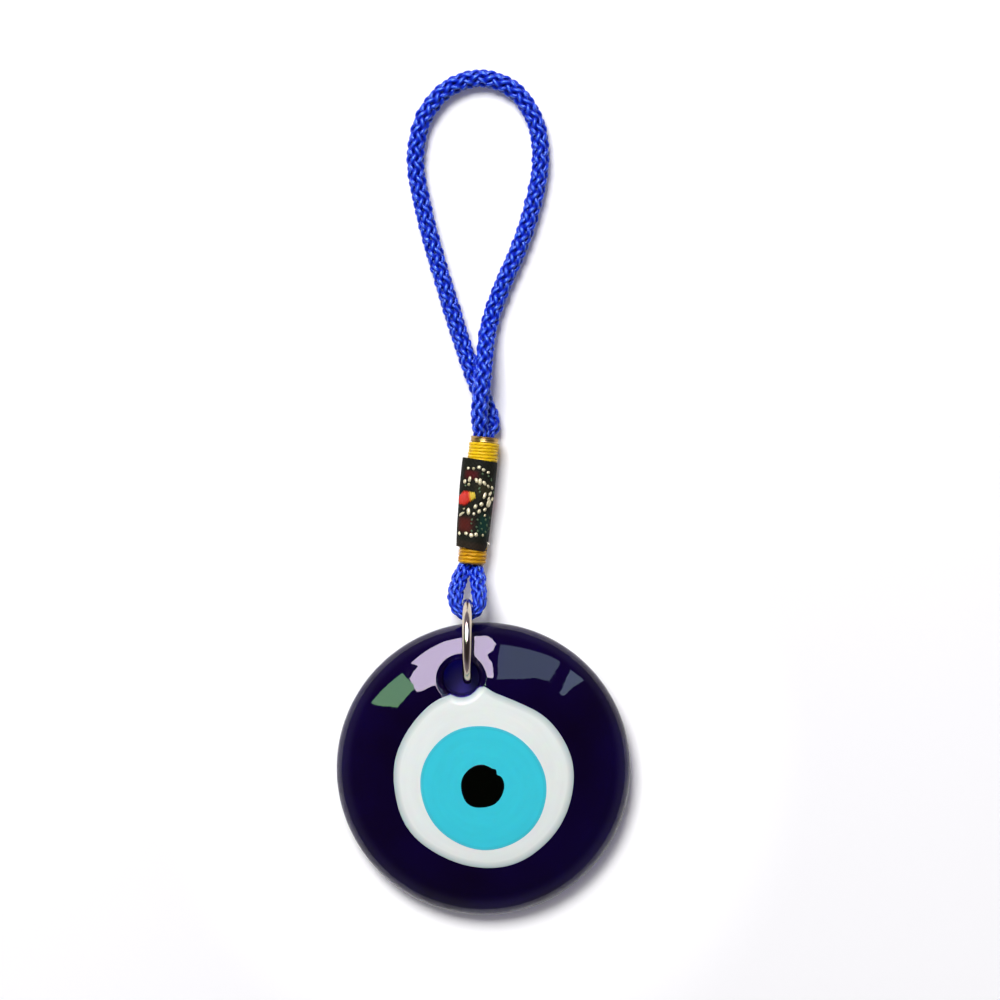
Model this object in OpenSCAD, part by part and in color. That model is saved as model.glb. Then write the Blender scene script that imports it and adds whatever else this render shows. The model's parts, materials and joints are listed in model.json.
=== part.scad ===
// Glass evil eye ornament on a braided cord, lying on a table, in millimetres.
// Origin on the table under the middle of the glass disc, +Z up, +Y towards the hand loop.

/* [Glass disc] */
// Diameter of the glass disc
disc_d = 35; // [34.8:0.1:35.2]
// Thickness of the disc at its middle
disc_t = 5.6; // [5.4:0.1:5.8]
// Height of the widest line of the disc above its flat back
girth_h = 2; // [1.8:0.1:2.2]
// Tilt of the disc, because the jump ring's wire lies under its upper edge
disc_tilt = 2.8; // [2.8:0.1:3.2]

/* [Hanging hole] */
// Diameter of the hole through the glass
hole_d = 4.2; // [4:0.1:4.4]
// Sideways place of the hole
hole_x = -2.6; // [-2.8:0.1:-2.4]
// Distance of the hole above the middle of the disc
hole_y = 11.1; // [11:0.1:11.2]
// Radius that rounds the hole's mouth at the front
hole_round_front = 1; // [0.8:0.1:1]
// Radius that rounds the hole's mouth at the back
hole_round_back = 1.2; // [1.2:0.1:1.4]

/* [Eye] */
// Radius of the white glass
white_r = 10.6; // [10:0.1:10.8]
// How far the white is drawn out towards the hole
white_lobe = 0.4; // [0.2:0.1:0.6]
// How far the white falls short beside that lobe
white_dip = 0.4; // [0:0.1:0.6]
// Distance of the white's middle below the middle of the disc
white_drop = 0.8; // [0.6:0.05:1]
// Radius of the light blue glass
iris_r = 7.4; // [7:0.1:7.8]
// Radius of the black glass
pupil_r = 2.6; // [2:0.05:3]
// Distance of the iris below the middle of the disc
iris_drop = 1.75; // [1.5:0.05:2]
// How far the pupil sits up and to the left of the iris's middle
pupil_shift = 0.15; // [0:0.05:0.3]

/* [Jump ring] */
// Outside diameter of the jump ring
ring_d = 10.2; // [10.2:0.1:10.4]
// Thickness of the ring's wire
ring_wire = 1.1; // [0.9:0.1:1.1]
// Gap between the ends of the wire
ring_gap = 0.2; // [0.1:0.05:0.4]

/* [Sleeve] */
// Length of the clear tube that grips the cord
tube_l = 15.3; // [15:0.1:15.6]
// Outside diameter of the clear tube
tube_d = 3; // [3:0.1:3.1]
// Diameter of the collar at the tube's upper end
collar_d = 3.5; // [3.2:0.1:3.6]
// Wall of the clear tube
tube_wall = 0.2; // [0.15:0.05:0.2]
// Diameter over the lower thread winding
lower_winding_d = 3.4; // [3.4:0.1:3.6]
// Diameter over the upper thread winding
upper_winding_d = 3.8; // [3.5:0.1:3.9]
// Length of the lower thread winding
lower_winding_l = 2.1; // [2:0.1:2.4]
// Length of the brocade ribbon that wraps the tube
brocade_l = 10.4; // [10:0.1:10.6]
// Diameter over the brocade ribbon
brocade_d = 4.1; // [3.9:0.1:4.1]
// Length of the upper thread winding
upper_winding_l = 2.1; // [1.8:0.1:2.2]

/* [Hidden] */

disc_r = disc_d / 2;
// the rounded back edge touches the table opposite the jump ring
disc_lift = (disc_r - girth_h) * sin(disc_tilt) + girth_h * (1 - cos(disc_tilt));
// how deep each layer of fused glass reaches below the disc's highest point
white_depth = 1.4;
iris_depth = 1;
pupil_depth = 0.7;
white_floor = disc_t - white_depth;
iris_floor = disc_t - iris_depth;
pupil_floor = disc_t - pupil_depth;
clearance = 1;
above_glass = disc_t + clearance;

white_lobe_at = 112;
white_dip_at = 60;
white_wave = 18;

ring_x = -1.9;
ring_y = 15.2;
ring_r = (ring_d - ring_wire) / 2;
// the butt joint of the wire lies low on the side that faces the cord
ring_gap_at = 40;
ring_gap_angle = ring_gap / ring_r * 180 / PI;

sleeve_start = [-1.55, 24.2, brocade_d / 2];
sleeve_lean = 6;
lower_turns = 5;
upper_turns = 8;
edge_round = 0.25;

cord_sides = 8;
squeezed = 0.6;
full = 1.12;
// The cord's route, [x, y, z, radius]: out of the sleeve on the upper strand, round the hand
// loop, back under that strand through the sleeve, round the ring's wire and into the sleeve.
route = [
    [-1.5, 30, 2.3, squeezed],
    [-0.95, 35, 2.4, squeezed],
    [-0.4, 39.5, 2.45, squeezed],
    [-0.45, 40.7, 2.7, 0.95],
    [-0.45, 42.9, 3.2, full],
    [-0.15, 45.6, 3.4, full],
    [0.15, 49, 2.6, full],
    [0.7, 53, 1.4, full],
    [2.2, 57.4, 1.15, full],
    [4.2, 62, 1.15, full],
    [5.85, 67.1, 1.15, full],
    [6.8, 72.2, 1.15, full],
    [6.25, 77, 1.15, full],
    [3.65, 80.9, 1.15, full],
    [-0.4, 82.35, 1.15, full],
    [-4.3, 81.1, 1.15, full],
    [-7.15, 77.6, 1.15, full],
    [-8.15, 72.6, 1.15, full],
    [-7.4, 67.6, 1.15, full],
    [-6, 62, 1.15, full],
    [-3.05, 52.2, 1.15, full],
    [-1.65, 48, 1.15, full],
    [-0.6, 45.2, 1.15, full],
    [0.45, 42.9, 1.15, full],
    [1, 40.7, 1.3, 0.95],
    [0.45, 39.5, 1.6, squeezed],
    [0, 35, 1.6, squeezed],
    [-0.4, 30, 1.8, squeezed],
    [-0.95, 24.2, 2.05, squeezed],
    [-0.77, 23.3, 2.5, 0.85],
    [-0.58, 21.2, 3.9, 0.9],
    [-0.46, 20, 4.8, 0.85],
    [-0.9, 18.7, 5.4, 0.7],
    [-1.9, 18.3, 5.5, 0.7],
    [-2.9, 18.7, 5.4, 0.7],
    [-3.34, 20, 4.8, 0.85],
    [-3.22, 21.2, 3.9, 0.9],
    [-2.55, 23.3, 2.5, 0.85],
    [-2.15, 24.2, 2.05, squeezed],
    [-1.5, 30, 2.3, squeezed],
];
// places in the route where one solid of the cord ends and the next begins
neck_top_out = 3;
loop_start = 4;
loop_end = 23;
neck_top_back = 24;
bight_start = 27;
bight_end = 39;

function unit(v) = v / norm(v);
function place(i) = [route[i][0], route[i][1], route[i][2]];
function heading(i) =
    unit(place(min(i + 1, len(route) - 1)) - place(max(i - 1, 0)));
function cord_ring(i) =
    let (
        side = unit(cross(heading(i), [0, 0, 1])),
        rise = cross(side, heading(i))
    )
    [for (k = [0:cord_sides - 1])
        let (a = 360 * (k + 0.5) / cord_sides)
        place(i) + route[i][3] * (cos(a) * side + sin(a) * rise)];

// One closed tube of cord along the route from place first to place last
module cord_tube(first, last) {
    rings = last - first;
    points = [for (i = [first:last]) each cord_ring(i)];
    sides = [for (i = [0:rings - 1], k = [0:cord_sides - 1])
        let (next = (k + 1) % cord_sides)
        [i * cord_sides + k, i * cord_sides + next,
         (i + 1) * cord_sides + next, (i + 1) * cord_sides + k]];
    start_face = [for (k = [cord_sides - 1:-1:0]) k];
    end_face = [for (k = [0:cord_sides - 1]) rings * cord_sides + k];
    polyhedron(points = points, faces = concat(sides, [start_face, end_face]), convexity = 8);
}

// Puts the disc's own frame, flat back on z = 0, into its place on the table
module lay_disc() {
    translate([0, 0, disc_lift]) rotate([disc_tilt, 0, 0]) children();
}

// Puts a sleeve part, built upwards along z from the sleeve's lower end, into its place
module lay_sleeve() {
    translate(sleeve_start) rotate([0, 0, -sleeve_lean]) rotate([-90, 0, 0]) children();
}

// Half section of the pressed disc: flat back, round edge, front falling away to the rim
function disc_profile() = concat(
    [[0, 0]],
    [for (a = [0:15:75])
        [disc_r - girth_h + girth_h * sin(a), girth_h - girth_h * cos(a)]],
    [for (b = [90:-5:0])
        [disc_r * sin(b), girth_h + (disc_t - girth_h) * sqrt(1 - pow(sin(b), 4))]]
);

module disc_blank() {
    rotate_extrude($fn = 96) polygon(disc_profile());
}

// The hole with its two rounded mouths; its front mouth follows the glass, which is lower there
module hole_cutter() {
    r = hole_d / 2;
    front = girth_h + (disc_t - girth_h) * sqrt(1 - pow(norm([hole_x, hole_y]) / disc_r, 4));
    profile = concat(
        [[0, -1], [r + hole_round_back, -1]],
        [for (a = [0:15:90])
            [r + hole_round_back * (1 - sin(a)), hole_round_back * (1 - cos(a))]],
        [for (a = [90:-15:0])
            [r + hole_round_front * (1 - sin(a)), front - hole_round_front * (1 - cos(a))]],
        [[r + hole_round_front, above_glass], [0, above_glass]]
    );
    translate([hole_x, hole_y, 0]) rotate_extrude($fn = 64) polygon(profile);
}

// Distance of the white's edge from its middle: a circle drawn out towards the hole
function white_edge(a) =
    white_r
    + white_lobe * exp(-pow((a - white_lobe_at) / white_wave, 2))
    - white_dip * exp(-pow((a - white_dip_at) / white_wave, 2));

module white_outline() {
    polygon([for (a = [0:6:354]) white_edge(a) * [cos(a), sin(a)]]);
}

module white_cutter() {
    translate([0, -white_drop, white_floor]) linear_extrude(above_glass) white_outline();
}

module iris_cutter() {
    translate([0, -iris_drop, iris_floor]) cylinder(r = iris_r, h = above_glass, $fn = 96);
}

module pupil_cutter() {
    translate([-pupil_shift, pupil_shift - iris_drop, pupil_floor])
        cylinder(r = pupil_r, h = above_glass, $fn = 48);
}

module glass_body() {
    color([0.06, 0.03, 0.25]) lay_disc() difference() {
        disc_blank();
        white_cutter();
        hole_cutter();
    }
}

module white_glass() {
    color([0.92, 0.94, 0.93]) lay_disc() difference() {
        intersection() {
            disc_blank();
            white_cutter();
        }
        iris_cutter();
        hole_cutter();
    }
}

module light_blue_glass() {
    color([0.22, 0.77, 0.85]) lay_disc() difference() {
        intersection() {
            disc_blank();
            iris_cutter();
        }
        pupil_cutter();
    }
}

module pupil_glass() {
    color([0.02, 0.02, 0.02]) lay_disc() intersection() {
        disc_blank();
        pupil_cutter();
    }
}

// Open ring of round wire standing on edge, through the hole and round the rim
module jump_ring() {
    color([0.75, 0.72, 0.68])
        translate([ring_x, ring_y, ring_d / 2])
            rotate([0, 90, 0]) rotate([0, 0, ring_gap_at])
                rotate_extrude(angle = 360 - ring_gap_angle, $fn = 96)
                    translate([ring_r, 0]) circle(d = ring_wire, $fn = 32);
}

module cord_bight() {
    color([0.02, 0.1, 0.75]) cord_tube(bight_start, bight_end);
}

module cord_neck() {
    color([0.02, 0.1, 0.75]) {
        cord_tube(0, neck_top_out);
        cord_tube(neck_top_back, bight_start);
    }
}

module cord_loop() {
    color([0.02, 0.1, 0.75]) cord_tube(loop_start, loop_end);
}

module core_tube() {
    collar_l = tube_l - lower_winding_l - brocade_l - upper_winding_l;
    color([0.85, 0.85, 0.9, 0.5]) lay_sleeve() difference() {
        union() {
            cylinder(d = tube_d, h = tube_l, $fn = 64);
            translate([0, 0, tube_l - collar_l]) cylinder(d = collar_d, h = collar_l, $fn = 64);
        }
        translate([0, 0, -1]) cylinder(d = tube_d - 2 * tube_wall, h = tube_l + 2, $fn = 64);
    }
}

// Turns of thread side by side, as one ribbed band on the tube
module winding(start, length, turns, outer_d) {
    thread = length / turns;
    // neighbouring turns press into each other a little
    thread_r = thread * 0.52;
    lay_sleeve() translate([0, 0, start]) difference() {
        union() {
            cylinder(d = outer_d - thread, h = length, $fn = 64);
            for (i = [0:turns - 1])
                translate([0, 0, thread * (i + 0.5)]) rotate_extrude($fn = 64)
                    translate([outer_d / 2 - thread_r, 0]) circle(r = thread_r, $fn = 24);
        }
        translate([0, 0, -1]) cylinder(d = tube_d, h = length + 2, $fn = 64);
    }
}

module lower_winding() {
    color([0.95, 0.7, 0.1]) winding(0.1, lower_winding_l - 0.1, lower_turns, lower_winding_d);
}

module upper_winding() {
    color([1, 0.8, 0.05])
        winding(lower_winding_l + brocade_l, upper_winding_l, upper_turns, upper_winding_d);
}

// The ribbon wound round the tube, with softly rounded ends
module brocade_sleeve() {
    outer = brocade_d / 2;
    profile = [
        [tube_d / 2, 0],
        [outer - edge_round, 0],
        [outer, edge_round],
        [outer, brocade_l - edge_round],
        [outer - edge_round, brocade_l],
        [tube_d / 2, brocade_l],
    ];
    color([0.12, 0.12, 0.1]) lay_sleeve() translate([0, 0, lower_winding_l])
        rotate_extrude($fn = 64) polygon(profile);
}

glass_body();
white_glass();
light_blue_glass();
pupil_glass();
jump_ring();
cord_bight();
cord_neck();
cord_loop();
core_tube();
lower_winding();
brocade_sleeve();
upper_winding();
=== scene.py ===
"""Glass evil eye ornament on a braided cord, lying on a pale table. Metres; lengths are given as
a number of millimetres times MM."""

import json
import math

import bmesh
import bpy
import numpy as np
from mathutils import Matrix, Vector


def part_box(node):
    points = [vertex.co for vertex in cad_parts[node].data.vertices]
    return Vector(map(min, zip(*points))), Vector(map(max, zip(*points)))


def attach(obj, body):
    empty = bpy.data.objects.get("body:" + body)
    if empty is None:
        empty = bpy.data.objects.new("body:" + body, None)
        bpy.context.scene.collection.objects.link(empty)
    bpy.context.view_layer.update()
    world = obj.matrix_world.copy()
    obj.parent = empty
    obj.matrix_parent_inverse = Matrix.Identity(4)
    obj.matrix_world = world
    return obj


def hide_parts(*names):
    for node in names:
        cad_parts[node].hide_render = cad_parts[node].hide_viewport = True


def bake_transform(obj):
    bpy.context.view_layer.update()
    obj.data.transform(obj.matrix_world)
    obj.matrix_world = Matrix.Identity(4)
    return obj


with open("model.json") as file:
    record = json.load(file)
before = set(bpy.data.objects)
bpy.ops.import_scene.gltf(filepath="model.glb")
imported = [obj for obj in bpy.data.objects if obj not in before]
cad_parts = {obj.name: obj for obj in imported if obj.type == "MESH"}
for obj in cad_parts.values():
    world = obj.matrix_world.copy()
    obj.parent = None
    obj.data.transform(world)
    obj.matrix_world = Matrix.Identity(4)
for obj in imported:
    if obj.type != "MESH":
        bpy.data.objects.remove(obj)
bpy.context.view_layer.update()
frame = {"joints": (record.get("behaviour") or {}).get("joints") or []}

MM = 0.001
TURN = 2 * math.pi
# soft things press flat on the table, and end this far above it
ON_TABLE = 0.01 * MM
JOINTS = {joint["name"]: joint for joint in frame["joints"]}


# ---------------------------------------------------------------- meshes and materials in general


def middle(node):
    """The centre of a CAD node's box."""
    low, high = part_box(node)
    return (low + high) / 2


def new_object(name, points, faces, body=None, material=None, smooth=True):
    """A mesh object of these points and faces, facing outwards, riding on a CAD body."""
    mesh = bpy.data.meshes.new(name)
    mesh.from_pydata(np.asarray(points, float).tolist(), [], faces)
    turned = bmesh.new()
    turned.from_mesh(mesh)
    bmesh.ops.recalc_face_normals(turned, faces=turned.faces)
    turned.to_mesh(mesh)
    turned.free()
    mesh.polygons.foreach_set("use_smooth", [smooth] * len(mesh.polygons))
    mesh.update()
    made = bpy.data.objects.new(name, mesh)
    bpy.context.scene.collection.objects.link(made)
    if material is not None:
        mesh.materials.append(material)
    if body is not None:
        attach(made, body)
    return made


def round_angles(count):
    """Evenly spaced angles of one turn."""
    return np.arange(count) / count * TURN


def circle(angles):
    """Points of the unit circle, one row each."""
    return np.stack([np.cos(angles), np.sin(angles)], axis=1)


def lattice(rows, columns, first=0, close_rows=False):
    """Quads between the points of a grid that is stored row by row; each row is a closed ring."""
    faces = []
    for i in range(rows if close_rows else rows - 1):
        for j in range(columns):
            a = first + i * columns
            b = first + (i + 1) % rows * columns
            k = (j + 1) % columns
            faces.append((a + j, a + k, b + k, b + j))
    return faces


def cap(columns, first, centre, outward):
    """Triangles that close a ring of points round a centre point."""
    ring = [(first + j, first + (j + 1) % columns) for j in range(columns)]
    return [(a, b, centre) if outward else (b, a, centre) for a, b in ring]


def set_vectors(made, name, values):
    """Keeps a vector per point, which a material reads as its coordinates."""
    attribute = made.data.attributes.new(name, "FLOAT_VECTOR", "POINT")
    attribute.data.foreach_set("vector", np.asarray(values, np.float32).ravel())


def set_colours(made, name, values):
    """Keeps a linear colour per point."""
    attribute = made.data.attributes.new(name, "FLOAT_COLOR", "POINT")
    rgba = np.concatenate([values, np.ones((len(values), 1))], axis=1)
    attribute.data.foreach_set("color", rgba.astype(np.float32).ravel())


def node(tree, kind, inputs=None, **settings):
    """A shader node with its settings, and its inputs set to values or linked to sockets."""
    made = tree.nodes.new(kind)
    for key, value in settings.items():
        setattr(made, key, value)
    for key, value in (inputs or {}).items():
        if isinstance(value, bpy.types.NodeSocket):
            tree.links.new(value, made.inputs[key])
        else:
            made.inputs[key].default_value = value
    return made


def new_material(name, colour, roughness, **constants):
    """A Principled material with its plain values set, as (material, tree, shader)."""
    made = bpy.data.materials.new(name)
    made.use_nodes = True
    tree = made.node_tree
    tree.nodes.clear()
    output = node(tree, "ShaderNodeOutputMaterial")
    shader = node(tree, "ShaderNodeBsdfPrincipled")
    shader.inputs["Base Color"].default_value = (*colour, 1)
    shader.inputs["Roughness"].default_value = roughness
    for key, value in constants.items():
        shader.inputs[key.replace("_", " ")].default_value = value
    tree.links.new(shader.outputs["BSDF"], output.inputs["Surface"])
    return made, tree, shader


def scaled(tree, attribute, scale):
    """A vector attribute times a scale along each of its axes."""
    read = node(tree, "ShaderNodeAttribute", attribute_name=attribute)
    inputs = {0: read.outputs["Vector"], 1: scale}
    return node(tree, "ShaderNodeVectorMath", inputs, operation="MULTIPLY").outputs[0]


def noise(tree, vector, detail=2.0, scale=1.0):
    inputs = {"Vector": vector, "Scale": scale, "Detail": detail}
    return node(tree, "ShaderNodeTexNoise", inputs).outputs["Fac"]


def ramp(tree, value, stops):
    """Colours at places from 0 to 1 along a value."""
    made = node(tree, "ShaderNodeValToRGB", {"Fac": value})
    points = made.color_ramp.elements
    while len(points) < len(stops):
        points.new(0.5)
    for point, (place, colour) in zip(points, stops):
        point.position = place
        point.color = (*colour, 1)
    return made.outputs["Color"]


def remap(tree, value, low, high):
    """A value from 0 to 1 moved to the range from low to high."""
    inputs = {"Value": value, "To Min": low, "To Max": high}
    return node(tree, "ShaderNodeMapRange", inputs).outputs["Result"]


def bump(tree, shader, height, distance, strength=1.0):
    """Relief from a height, distance metres deep."""
    inputs = {"Height": height, "Distance": distance, "Strength": strength}
    made = node(tree, "ShaderNodeBump", inputs)
    tree.links.new(made.outputs["Normal"], shader.inputs["Normal"])


# ---------------------------------------------------------------- camera

# the view is straight down, and takes in VIEW_WIDTH at the height of the object's middle
VIEW_WIDTH = 119 * MM
VIEW_CENTRE = (1.96 * MM, 31.9 * MM)
VIEW_HEIGHT = 3 * MM
LENS = 100
SENSOR = 36


def add_camera():
    data = bpy.data.cameras.new("camera")
    data.lens = LENS
    data.sensor_width = SENSOR
    data.clip_start = 0.01
    made = bpy.data.objects.new("camera", data)
    made.location = (*VIEW_CENTRE, VIEW_HEIGHT + VIEW_WIDTH * LENS / SENSOR)
    bpy.context.scene.collection.objects.link(made)
    bpy.context.scene.camera = made


# ---------------------------------------------------------------- cord

SQUEEZED = 0.6
FULL = 1.12
# the cord's route in millimetres, x, y, z and radius: out of the sleeve on the upper strand, round
# the hand loop, back under that strand through the sleeve, round the ring's wire, into the sleeve
ROUTE = [
    (-1.5, 30, 2.3, SQUEEZED),
    (-0.95, 35, 2.4, SQUEEZED),
    (-0.4, 39.5, 2.45, 0.85),
    (-0.45, 40.7, 2.7, 1.05),
    (-0.45, 42.9, 3.2, FULL),
    (-0.15, 45.6, 3.4, FULL),
    (0.15, 49, 2.6, FULL),
    (0.7, 53, 1.4, FULL),
    (2.2, 57.4, 1.15, FULL),
    (4.2, 62, 1.15, FULL),
    (5.85, 67.1, 1.15, FULL),
    (6.8, 72.2, 1.15, FULL),
    (6.25, 77, 1.15, FULL),
    (3.65, 80.9, 1.15, FULL),
    (-0.4, 82.35, 1.15, FULL),
    (-4.3, 81.1, 1.15, FULL),
    (-7.15, 77.6, 1.15, FULL),
    (-8.15, 72.6, 1.15, FULL),
    (-7.4, 67.6, 1.15, FULL),
    (-6, 62, 1.15, FULL),
    (-3.05, 52.2, 1.15, FULL),
    (-1.65, 48, 1.15, FULL),
    (-0.6, 45.2, 1.15, FULL),
    (0.45, 42.9, 1.15, FULL),
    (1, 40.7, 1.3, 1.05),
    (0.45, 39.5, 1.6, 0.85),
    (0, 35, 1.6, SQUEEZED),
    (-0.4, 30, 1.8, SQUEEZED),
    (-0.95, 24.2, 2.05, 0.8),
    (-0.77, 23.3, 2.5, 1),
    (-0.58, 21.2, 3.9, 1.02),
    (-0.46, 20, 4.8, 0.95),
    (-0.9, 18.7, 5.4, 0.7),
    (-1.9, 18.3, 5.5, 0.7),
    (-2.9, 18.7, 5.4, 0.7),
    (-3.34, 20, 4.8, 0.95),
    (-3.22, 21.2, 3.9, 1.02),
    (-2.55, 23.3, 2.5, 1),
    (-2.15, 24.2, 2.05, 0.8),
    (-1.5, 30, 2.3, SQUEEZED),
]
CORD_STEP = 0.22 * MM

# the braid: six strands wind each way, and each goes over and under those it meets
EACH_WAY = 6
BRAID_PITCH = 10.6 * MM
STRAND_OUT = 0.74 * MM
STRAND_WAVE = 0.16 * MM
STRAND_WIDE = 0.27 * MM
STRAND_THICK = 0.22 * MM
STRAND_LOBES = 0.06
STRAND_SIDES = 12
BRAID_DRIFT = 0.5 / (20 * MM)
CORE_SHARE = 0.52


def smooth_route():
    """The route as a smooth curve through its points, evenly spaced: (points, radii)."""
    given = np.array(ROUTE) * MM
    before = 2 * given[0] - given[1]
    after = 2 * given[-1] - given[-2]
    given = np.vstack([before, given, after])
    curve = []
    for p0, p1, p2, p3 in zip(given, given[1:], given[2:], given[3:]):
        # centripetal spacing keeps the curve from overshooting where points lie close together
        knots = [0.0]
        for a, b in ((p0, p1), (p1, p2), (p2, p3)):
            knots.append(knots[-1] + math.sqrt(np.linalg.norm((b - a)[:3])))
        t0, t1, t2, t3 = knots
        t = np.linspace(t1, t2, 40, endpoint=False)[:, None]
        a1 = (t1 - t) / (t1 - t0) * p0 + (t - t0) / (t1 - t0) * p1
        a2 = (t2 - t) / (t2 - t1) * p1 + (t - t1) / (t2 - t1) * p2
        a3 = (t3 - t) / (t3 - t2) * p2 + (t - t2) / (t3 - t2) * p3
        b1 = (t2 - t) / (t2 - t0) * a1 + (t - t0) / (t2 - t0) * a2
        b2 = (t3 - t) / (t3 - t1) * a2 + (t - t1) / (t3 - t1) * a3
        curve.append((t2 - t) / (t2 - t1) * b1 + (t - t1) / (t2 - t1) * b2)
    curve = np.vstack([*curve, given[-2:-1]])
    gaps = np.linalg.norm(np.diff(curve[:, :3], axis=0), axis=1)
    along = np.concatenate([[0], np.cumsum(gaps)])
    at = np.linspace(0, along[-1], round(along[-1] / CORD_STEP) + 1)
    even = np.stack([np.interp(at, along, curve[:, k]) for k in range(4)], axis=1)
    return even[:, :3], even[:, 3]


def unit(vectors):
    return vectors / np.linalg.norm(vectors, axis=-1, keepdims=True)


def carried_frames(line):
    """Two directions across a line at each of its points, carried along it without twist."""
    ahead = unit(np.gradient(line, axis=0))
    side = np.zeros_like(line)
    side[0] = unit(np.cross(ahead[0], (0, 0, 1)))
    for i in range(1, len(line)):
        carried = side[i - 1] - ahead[i] * (side[i - 1] @ ahead[i])
        side[i] = unit(carried)
    return side, np.cross(side, ahead)


def tube(centres, across, up, half_wide, half_thick, shape):
    """Rings of points round a line; shape holds one (cos, sin) per side."""
    rings = (
        centres[:, None]
        + across[:, None] * (shape[:, 0] * half_wide[:, None])[:, :, None]
        + up[:, None] * (shape[:, 1] * half_thick[:, None])[:, :, None]
    )
    return rings.reshape(-1, 3)


def closed_tube(rings, sides, first):
    """The faces of a tube whose rings are followed by its two end points."""
    faces = lattice(rings, sides, first)
    end = first + rings * sides
    faces += cap(sides, first, end, outward=False)
    faces += cap(sides, end - sides, end + 1, outward=True)
    return faces


def cord_material():
    """Satin filament yarn, deep blue: a painted highlight along the top of each stitch, painted
    shade where strands dive.
    """
    made, tree, shader = new_material(
        "braided_cord",
        (0.002, 0.014, 0.5),
        0.26,
        Specular_IOR_Level=0.9,
        Specular_Tint=(0.42, 0.78, 1, 1),
        Sheen_Weight=0.05,
        Sheen_Roughness=0.4,
        Sheen_Tint=(0.2, 0.4, 1, 1),
    )
    read = node(tree, "ShaderNodeAttribute", attribute_name="painted_crest_light")
    painted_crest_light = node(tree, "ShaderNodeSeparateXYZ", {0: read.outputs["Vector"]}).outputs["X"]
    broad = noise(tree, scaled(tree, "yarn", (500, 0.8, 1)), 3)
    uneven = remap(tree, broad, -0.25, 0.25)
    inputs = {0: painted_crest_light, 1: uneven}
    height = node(tree, "ShaderNodeMath", inputs, operation="ADD", use_clamp=True).outputs[0]
    # from painted shade where strands dive, through the yarn's own blue, to a painted highlight on
    # top of each stitch
    stops = [(0.0, (0.0004, 0.002, 0.2)), (0.3, (0.0015, 0.012, 0.5)),
             (0.6, (0.005, 0.035, 0.74)), (1.0, (0.07, 0.2, 1))]
    tree.links.new(ramp(tree, height, stops), shader.inputs["Base Color"])
    fine = noise(tree, scaled(tree, "yarn", (900, 7, 1)), 3)
    tree.links.new(remap(tree, fine, 0.14, 0.34), shader.inputs["Roughness"])
    bump(tree, shader, fine, 0.03 * MM, 0.5)
    return made


def add_cord():
    """The whole cord as one braid of twelve strands round a core."""
    line, radius = smooth_route()
    side, up = carried_frames(line)
    gaps = np.linalg.norm(np.diff(line, axis=0), axis=1)
    along = np.concatenate([[0], np.cumsum(gaps)])
    size = radius / (FULL * MM)
    angles = round_angles(STRAND_SIDES)
    lobed = 1 + STRAND_LOBES * np.cos(4 * angles)
    shape = circle(angles) * lobed[:, None]
    points, yarn, painted_crest_light, faces = [], [], [], []
    ridge = np.exp(-((np.cos(angles) / 0.6) ** 2)) * (np.sin(angles) > 0)
    rng = np.random.default_rng(7)
    for strand in range(2 * EACH_WAY):
        way = 1 if strand < EACH_WAY else -1
        angle = way * TURN * (along / BRAID_PITCH + strand % EACH_WAY / EACH_WAY)
        uneven = np.interp(along, np.linspace(0, along[-1], 90), rng.normal(0, 0.025, 90))
        out = STRAND_OUT + way * STRAND_WAVE * np.cos(EACH_WAY * angle) + uneven * MM
        turned = angle + BRAID_DRIFT * along
        radial = side * np.cos(turned)[:, None] + up * np.sin(turned)[:, None]
        centres = line + radial * (out * size)[:, None]
        ahead = unit(np.gradient(centres, axis=0))
        across = unit(np.cross(ahead, radial))
        lift = np.cross(across, ahead)
        first = sum(len(p) for p in points)
        rings = tube(centres, across, lift, STRAND_WIDE * size, STRAND_THICK * size, shape)
        points += [rings, centres[:1], centres[-1:]]
        faces += closed_tube(len(line), STRAND_SIDES, first)
        where = np.zeros((len(line), STRAND_SIDES, 3))
        where[:, :, 0] = along[:, None]
        where[:, :, 1] = np.arange(STRAND_SIDES)
        where[:, :, 2] = strand * 5
        yarn += [where.reshape(-1, 3), np.zeros((2, 3))]
        # painted light kept per point: the outer side of each strand, where it lies over the
        # others, is painted lighter, and the dives are painted darker
        over = 0.5 + 0.5 * way * np.cos(EACH_WAY * angle)
        light = np.zeros((len(line), STRAND_SIDES, 3))
        light[:, :, 0] = over[:, None] ** 1.5 * (0.3 + 0.7 * ridge)
        painted_crest_light += [light.reshape(-1, 3), np.zeros((2, 3))]
    core_r = radius * CORE_SHARE
    first = sum(len(p) for p in points)
    rings = tube(line, side, up, core_r, core_r, circle(angles))
    points += [rings, line[:1], line[-1:]]
    faces += closed_tube(len(line), STRAND_SIDES, first)
    # the core gets none of that painted light, so it takes the darkest blue, painted shade
    yarn.append(np.zeros((len(rings) + 2, 3)))
    painted_crest_light.append(np.zeros((len(rings) + 2, 3)))
    points = np.vstack(points)
    points[:, 2] = np.maximum(points[:, 2], ON_TABLE)
    made = new_object("braided_cord", points, faces, None, cord_material())
    set_vectors(made, "yarn", np.vstack(yarn))
    set_vectors(made, "painted_crest_light", np.vstack(painted_crest_light))
    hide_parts("cord_bight", "cord_neck", "cord_loop")
    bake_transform(made)


# ---------------------------------------------------------------- glass disc

glass_low, glass_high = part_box("glass_body")
DISC_R = (glass_high.x - glass_low.x) / 2
DISC_T = 5.6 * MM
GIRTH = 2 * MM
hole_axis = Vector(JOINTS["ring_swivel"]["axis"])
DISC_TILT = math.atan2(-hole_axis.y, hole_axis.z)
DISC_LIFT = (DISC_R - GIRTH) * math.sin(DISC_TILT) + GIRTH * (1 - math.cos(DISC_TILT))
DISC_FRAME = Matrix.Translation((0, 0, DISC_LIFT)) @ Matrix.Rotation(DISC_TILT, 4, "X")

HOLE_R = 2.1 * MM
HOLE_AT = np.array([-2.6, 11.1]) * MM
MOUTH_FRONT = 1.0 * MM
MOUTH_BACK = 1.2 * MM
WALL_SEGMENTS = 288

WHITE_R = 10.62 * MM
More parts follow.
